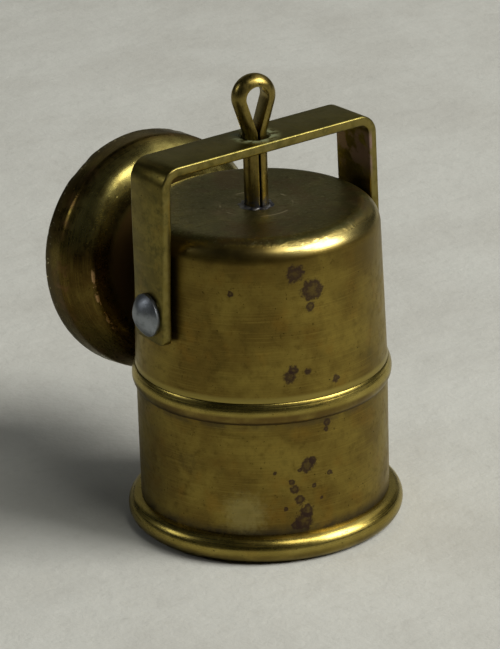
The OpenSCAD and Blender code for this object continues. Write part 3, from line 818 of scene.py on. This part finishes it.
def make_boss(material):
    """Spacer behind the reflector: its foot follows the round wall, with a solder fillet."""
    place = axis_place()
    hole_r = HOLDER_R + 0.02
    bury = 0.12
    outline = [(hole_r, 0), (BOSS_R + 0.4, 0), (BOSS_R + 0.12, 0.25), (BOSS_R - 0.15, 0.6)]
    outline += [(BOSS_R - 0.3, 1.2), (BOSS_R - 0.15, 1.8)]
    outline += [*arc(BOSS_R - 0.2, DISH_BACK - 0.2, 0.2, -20, 90, 4), (hole_r, DISH_BACK)]

    def shape(x, y, z):
        """Slides the foot along the axis until it lies just inside the wall."""
        here = place @ (Vector((x, y, 0)) * MM) / MM
        wall_r = CAP_TOP_R + (JOINT_R - CAP_TOP_R) * (SHOULDER_Z - here.z) / (SHOULDER_Z - CAP_LOW_Z)
        slip = math.hypot(here.x, here.y) - wall_r + bury
        return (x, y, z - slip * (1 - z / DISH_BACK))

    boss = lathe("burner_boss", outline, shape, step=0.5, place=place)
    fit(boss, material, "cap", "brass_spun", "reflector_boss")


def make_holder(material):
    """Burner tube with a short thread for the reflector's nut."""
    low_end = DISH_BACK + DISH_T + 0.2
    pitch = 0.5
    ridges = []
    for k in range(5):
        ridges += [(HOLDER_R, low_end + pitch * k), (HOLDER_R - 0.22, low_end + pitch * (k + 0.5))]
    seat_r = TIP_R + 0.02
    outline = [(HOLDER_BORE_R, -HOLDER_LEN), (HOLDER_R, -HOLDER_LEN), *ridges, (HOLDER_R, HOLDER_LEN - 0.5),
               (HOLDER_R - 0.5, HOLDER_LEN), (seat_r, HOLDER_LEN), (seat_r, TIP_SEAT),
               (HOLDER_BORE_R, TIP_SEAT)]
    holder = lathe("burner_holder_tube", outline, steps=96, step=2, place=axis_place())
    fit(holder, material, "cap", "brass_fitting", "burner_holder")


def make_nut(material):
    """Hexagon nut with its corners turned off on both faces."""
    bottom = DISH_BACK + DISH_T
    top = bottom + NUT_H
    half = NUT_AF / 2
    bore_r = HOLDER_R + 0.02
    outline = [(bore_r, bottom), (NUT_AF, bottom), (NUT_AF, top), (HOLDER_R + 0.25, top),
               (bore_r, top - 0.25)]

    def shape(x, y, z):
        """Pulls the round blank in to the hexagon and its chamfers."""
        r = math.hypot(x, y)
        if r < HOLDER_R + 0.3:
            return (x, y, z)
        off_flat = math.radians((math.degrees(math.atan2(y, x)) + 360) % 60 - 30)
        reach = min(half / math.cos(off_flat), half - 0.1 + 1.7 * min(top - z, z - bottom))
        grow = min(reach, r) / r
        return (x * grow, y * grow, z)

    nut = lathe("burner_nut", outline, shape, step=0.1, place=axis_place())
    fit(nut, material, "cap", "brass_fitting", "reflector_nut")


def make_tip(material):
    """Burner tip: a short shoulder over the holder, then a thinner body with a rounded end."""
    outline = [(TIP_BORE_R, TIP_SEAT), (TIP_R, TIP_SEAT), (TIP_R, HOLDER_LEN + 0.9)]
    outline += [(TIP_R - 0.12, HOLDER_LEN + 1.1)]
    outline += arc(TIP_R - 0.6, TIP_LEN - 0.4, 0.4, 0, 90, 6)
    outline += [(TIP_BORE_R + 0.2, TIP_LEN), (TIP_BORE_R, TIP_LEN - 0.2)]
    tip = lathe("burner_tip_body", outline, steps=96, step=2, place=axis_place())
    fit(tip, material, "cap", "ceramic", "burner_tip")


# ---------------------------------------------------------------- stem bush

def make_bush(material):
    """Bush under the pin, with the uneven collar of solder that shows on the top."""
    body_r = 3.3
    under = TOP_MID_Z - SHEET_T
    hole_r = STEM_R + 0.07
    packing_r = 2.5
    packing_z = BUSH_LOW_Z + 1.6
    collar_r = 2.85
    collar_z = TOP_MID_Z + 0.02
    outline = [(hole_r, packing_z), (packing_r, packing_z), (packing_r, BUSH_LOW_Z), (body_r, BUSH_LOW_Z)]
    outline += [(body_r, under), (BUSH_R, under), (BUSH_R, collar_z), (collar_r, collar_z)]
    outline += [(r, TOP_MID_Z + z) for r, z in ((2.6, 0.1), (2.3, 0.22), (2.05, 0.3), (hole_r, 0.28))]

    def shape(x, y, z):
        """The collar's edge and height wander."""
        if z < TOP_MID_Z:
            return (x, y, z)
        r = math.hypot(x, y)
        grow = 1 + smooth(r, 2.0, 2.6) * 0.16 * (wobble((x, y, 0), 1.1, 12.0) - 0.5)
        lump = 0.07 * smooth(z, TOP_MID_Z + 0.05, TOP_MID_Z + 0.2) * (wobble((x, y, 0), 0.8, 13.0) - 0.6)
        return (x * grow, y * grow, z + lump)

    bush = lathe("stem_bush_soldered", outline, shape, steps=120, step=0.5)
    fit(bush, material, "cap", "tinned_brass", "stem_bush")


# ---------------------------------------------------------------- bail, pin, rivets

def sweep(name, stations, section):
    """Sweeps section(k) points (out, side) along stations (point, out, side)."""
    rows = []
    for k, (point, out, side) in enumerate(stations):
        rows.append([point + out * u + side * v for u, v in section(k)])
    return solid(name, rows, closed_rows=False)


def bail_path():
    """Middle line of the hoop from the +X foot to the -X foot: (x, z, outward angle)."""
    mid_r = BEND_R - STRIP_T / 2
    bend_x = BAIL_X - BEND_R
    bend_z = BAIL_Z - BEND_R
    lean = ARM_LEAN
    arm_len = (bend_z - ARM_LOW_Z) / math.cos(lean) + mid_r * math.tan(lean)
    foot_steps = [0, 0.05, 0.13, 0.25, 0.4, 0.6, 0.8, 1.0]
    arm_steps = foot_steps + [1 + (arm_len - 1) * k / 40 for k in range(1, 41)]
    half = []
    for d in arm_steps[:-1]:
        away = arm_len - d
        half.append((bend_x + mid_r * math.cos(lean) + away * math.sin(lean),
                     bend_z + mid_r * math.sin(lean) - away * math.cos(lean), lean))
    for k in range(17):
        a = lean + (math.pi / 2 - lean) * k / 16
        half.append((bend_x + mid_r * math.cos(a), bend_z + mid_r * math.sin(a), a))
    bar = [(bend_x * (1 - k / 24), bend_z + mid_r, math.pi / 2) for k in range(1, 25)]
    right = half + bar
    left = [(-x, z, math.pi - a) for x, z, a in reversed(right[:-1])]
    return right + left


def make_bail(material):
    """Flat strip bent into a hoop. The foot of the near arm is sprung outwards on its +Y edge."""
    path = bail_path()
    corner = 0.3
    foot_r = 1.0
    stations = []
    widths = []
    for x, z, a in path:
        out = Vector((math.cos(a), 0, math.sin(a)))
        along = Vector((-math.sin(a), 0, math.cos(a)))
        twist = SPRUNG * smooth(z, BAIL_Z - BEND_R - 2, RIVET_Z) if x > 0 else 0.0
        turn = Matrix.Rotation(-twist, 3, along)
        stations.append((Vector((x, 0, z)), turn @ out, turn @ Vector((0, 1, 0))))
        d = z - ARM_LOW_Z
        inset = foot_r - math.sqrt(max(foot_r ** 2 - (foot_r - d) ** 2, 0)) if d < foot_r else 0.0
        widths.append(STRIP_W / 2 - inset)

    def section(k):
        half_w = widths[k]
        half_t = STRIP_T / 2
        return eased([(-half_t, -half_w, corner), (half_t, -half_w, corner), (half_t, half_w, corner),
                      (-half_t, half_w, corner)], 3)

    bail = sweep("bail_strip", stations, section)
    hole_r = STEM_R + 0.32
    mouth_r = hole_r + 0.35
    hole = [(0, BAIL_Z - 3), (hole_r, BAIL_Z - 3), (hole_r, BAIL_Z - 0.3), (mouth_r, BAIL_Z + 0.05),
            (mouth_r, BAIL_Z + 1), (0, BAIL_Z + 1)]
    cut(bail, lathe("hole", hole, steps=64, step=5))
    fit(bail, material, "bail", "brass_strip", "bail")


def make_pin(material):
    """Half-round wire folded into a split pin: two legs, slanting limbs and the round of the eye."""
    inner_r = 1.75
    gap = 0.15
    eye_z = EYE_TOP_Z - WIRE_R - inner_r
    fork_z = BAIL_Z + 0.7
    reach = math.hypot(eye_z - fork_z, gap)
    tilt = math.asin(inner_r / reach) - math.atan(gap / (eye_z - fork_z))
    fork_r = 2.6
    ease = fork_r * math.tan(tilt / 2)
    half = [(gap, LEG_LOW_Z + (fork_z - ease - LEG_LOW_Z) * k / 30, 0.0) for k in range(30)]
    half += [(gap + fork_r * (1 - math.cos(a)), fork_z - ease + fork_r * math.sin(a), a)
             for a in (tilt * k / 8 for k in range(9))]
    limb_end = Vector((inner_r * math.cos(tilt), eye_z - inner_r * math.sin(tilt)))
    limb_start = Vector(half[-1][:2])
    half += [(*limb_start.lerp(limb_end, k / 8), tilt) for k in range(1, 8)]
    half += [(inner_r * math.cos(b), eye_z + inner_r * math.sin(b), -b)
             for b in (-tilt + (math.pi / 2 + tilt) * k / 24 for k in range(25))]
    whole = half + [(-x, z, math.pi - a) for x, z, a in reversed(half[:-1])]
    side = Vector((0, 1, 0))
    stations = [(Vector((x, 0, z)), Vector((math.cos(a), 0, -math.sin(a))), side) for x, z, a in whole]
    outline = eased([(0, -WIRE_R, 0.12)] + [(u, v, 0) for u, v in arc(0, 0, WIRE_R, -82, 82, 22)] +
                    [(0, WIRE_R, 0.12)], 2)
    pin = sweep("split_pin_wire", stations, lambda k: outline)
    pin.data.transform(Matrix.Rotation(EYE_TURN, 4, "Z"))
    fit(pin, material, "split_pin", "brass_wire", "split_pin")


def make_rivet(name, material, side, node):
    """Pan-headed rivet along X: straight-sided head with a low dome, tilted where the strip is sprung."""
    tilt = math.tan(SPRUNG) if side > 0 else 0.0
    head_x = RIVET_OUT - RIVET_HEAD_H
    dome = 1.5
    bow = (RIVET_HEAD_R ** 2 + dome ** 2) / (2 * dome)
    half = math.degrees(math.asin(RIVET_HEAD_R / bow))
    outline = [(0, RIVET_END_X), (RIVET_SHANK_R, RIVET_END_X), (RIVET_SHANK_R + 0.5, RIVET_END_X + 0.8)]
    outline += [(RIVET_SHANK_R, RIVET_END_X + 0.9), (RIVET_SHANK_R, head_x), (RIVET_HEAD_R - 0.15, head_x)]
    outline += [(RIVET_HEAD_R, head_x + 0.12)]
    outline += [(r, h) for h, r in arc(RIVET_OUT - bow, 0, bow, half, 0, 14)]

    def shape(x, y, z):
        """Leans the head over on its seat, flattens one side of its dome and knocks it a little."""
        if z < head_x:
            return (x, y, z)
        flat = 0.5 * smooth(y - x, 1.2, 3.4)
        lean = tilt * y * smooth(math.hypot(x, y), 1.5, 2.8) if z > head_x + 0.05 else tilt * y
        return (x, y, z + 0.04 * (wobble((x, y, z), 1.6, 4.0 * side) - 1) - 0.1 * flat + lean)

    lay = Matrix.Rotation(math.radians(90 * side), 4, "Y")
    rivet = lathe(name, outline, shape, steps=96, step=0.4)
    rivet.data.transform(Matrix.Translation((0, 0, RIVET_Z * MM)) @ lay)
    fit(rivet, material, "cap", "rivet_steel", node)


# ---------------------------------------------------------------- floor, camera and light

def make_floor(material):
    """Wide thin sheet under the lamp."""
    reach = 3000
    corners = [(-reach, -reach), (reach, -reach), (reach, reach), (-reach, reach)]
    floor = solid("floor", [[(x, y, z) for x, y in corners] for z in (-0.01, 0)], closed_rows=False)
    floor.data.materials.append(material)


def looking(azimuth, elevation):
    """Unit vector from the lamp to a viewer. Azimuth 0 is in front of the reflector, 90 at +X."""
    a, e = math.radians(azimuth), math.radians(elevation)
    return Vector((math.sin(a) * math.cos(e), -math.cos(a) * math.cos(e), math.sin(e)))


# The photo's camera: where it stands (degrees, mm), its roll, what it aims at (mm) and its lens
VIEW_AZIMUTH = 143.3
VIEW_ELEVATION = 21.73
VIEW_DISTANCE = 553
VIEW_ROLL = math.radians(-1.85)
AIM_SIDE = -1.55
AIM_Z = 30.1
LENS = 205.9


def make_camera():
    """From behind the reflector and above, a little rolled, through a long lens."""
    back = looking(VIEW_AZIMUTH, VIEW_ELEVATION)
    level = Vector((-back.y, back.x, 0)).normalized()
    up = back.cross(level)
    aim = level * AIM_SIDE + Vector((0, 0, AIM_Z))
    right = level * math.cos(VIEW_ROLL) + up * math.sin(VIEW_ROLL)
    axes = Matrix((right, back.cross(right), back))
    data = bpy.data.cameras.new("camera")
    data.lens = LENS
    data.sensor_width = 36
    data.clip_start = 0.01
    data.clip_end = 20
    camera = bpy.data.objects.new("camera", data)
    bpy.context.scene.collection.objects.link(camera)
    camera.matrix_world = Matrix.Translation((aim + back * VIEW_DISTANCE) * MM) @ axes.transposed().to_4x4()
    bpy.context.scene.camera = camera


LAMP_MIDDLE = Vector((0, 0, 0.03))


def area_light(name, round_from_camera, elevation, distance, size, power, colour):
    """Soft box aimed at the lamp; round_from_camera in degrees to the right, distance and size in m."""
    back = looking(VIEW_AZIMUTH + round_from_camera, elevation)
    data = bpy.data.lights.new(name, "AREA")
    data.shape = "RECTANGLE"
    data.size, data.size_y = size
    data.energy = power
    data.color = colour
    light = bpy.data.objects.new(name, data)
    bpy.context.scene.collection.objects.link(light)
    light.location = LAMP_MIDDLE + back * distance
    light.rotation_mode = "QUATERNION"
    light.rotation_quaternion = (-back).to_track_quat("-Z", "Y")


def make_world():
    """Very dim bluish surroundings."""
    world = bpy.data.worlds.new("world")
    bpy.context.scene.world = world
    world.use_nodes = True
    world.node_tree.nodes["Background"].inputs["Color"].default_value = (0.85, 0.95, 1.0, 1)
    world.node_tree.nodes["Background"].inputs["Strength"].default_value = 0.017


def make_lights():
    """A window on the right with its edge and glow, a small one on the left, the wall behind the lamp."""
    area_light("window", 73, 40, 1.6, (0.8, 0.84), 30.5, (1, 0.98, 0.94))
    area_light("window_edge", 36, 57, 1.3, (0.35, 0.45), 3.2, (1, 0.98, 0.92))
    area_light("window_glow", 120, 50, 1.5, (1.2, 0.8), 2.6, (1, 0.98, 0.94))
    area_light("side_window", -88, 30, 1.0, (0.27, 0.2), 0.85, (0.95, 0.97, 1))
    area_light("far_wall", 180, 24, 1.6, (2.2, 0.9), 1.3, (1, 0.98, 0.82))


# ---------------------------------------------------------------- the whole lamp

def dress(nodes, material):
    """Gives its material to each CAD node that shows as it is, inside the lamp."""
    for node in nodes:
        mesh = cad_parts[node].data
        mesh.materials.clear()
        mesh.materials.append(material)


make_camera()
make_world()
make_lights()
make_floor(floor_stuff())

brass_cap = cap_brass()
brass_base = base_brass()
brass_moulding = moulding_brass()
brass_strip = strip_brass()
brass_wire = wire_brass()
brass_dish = dish_brass()
brass_fitting = fitting_brass()
solder = tinned()
steel = rivet_steel()
rubber = plain_stuff("rubber", (0.02, 0.02, 0.02), 0.6, 0.8, 0.03)
felt = plain_stuff("felt", (0.55, 0.5, 0.4), 0.95, 0.35, 0.12)
yarn = plain_stuff("yarn", (0.16, 0.14, 0.11), 0.8, 0.3, 0.08)
ceramic = plain_stuff("ceramic", (0.72, 0.69, 0.62), 0.5, 0.9, 0.01, 0.3)

make_base_cup(brass_base)
make_foot_ring(brass_moulding)
make_base_bead(brass_moulding)
make_neck(brass_fitting)
make_gasket(rubber)
make_cap_shell(brass_cap)
make_dish(brass_dish)
make_boss(brass_dish)
make_holder(brass_fitting)
make_nut(brass_fitting)
make_tip(ceramic)
make_bush(solder)
make_bail(brass_strip)
make_pin(brass_wire)
make_rivet("rivet_head_right", steel, 1, "rivet_right")
make_rivet("rivet_head_left", steel, -1, "rivet_left")

dress(["felt_filter"], felt)
dress(["stem_packing"], yarn)
dress(["cap_thread_ring", "tank_floor", "drip_tube", "filter_plate", "filter_nut", "gas_tube", "gland_nut",
       "valve_needle", "rivet_washer_right", "rivet_washer_left"], brass_fitting)

bpy.context.scene.view_settings.view_transform = "Standard"
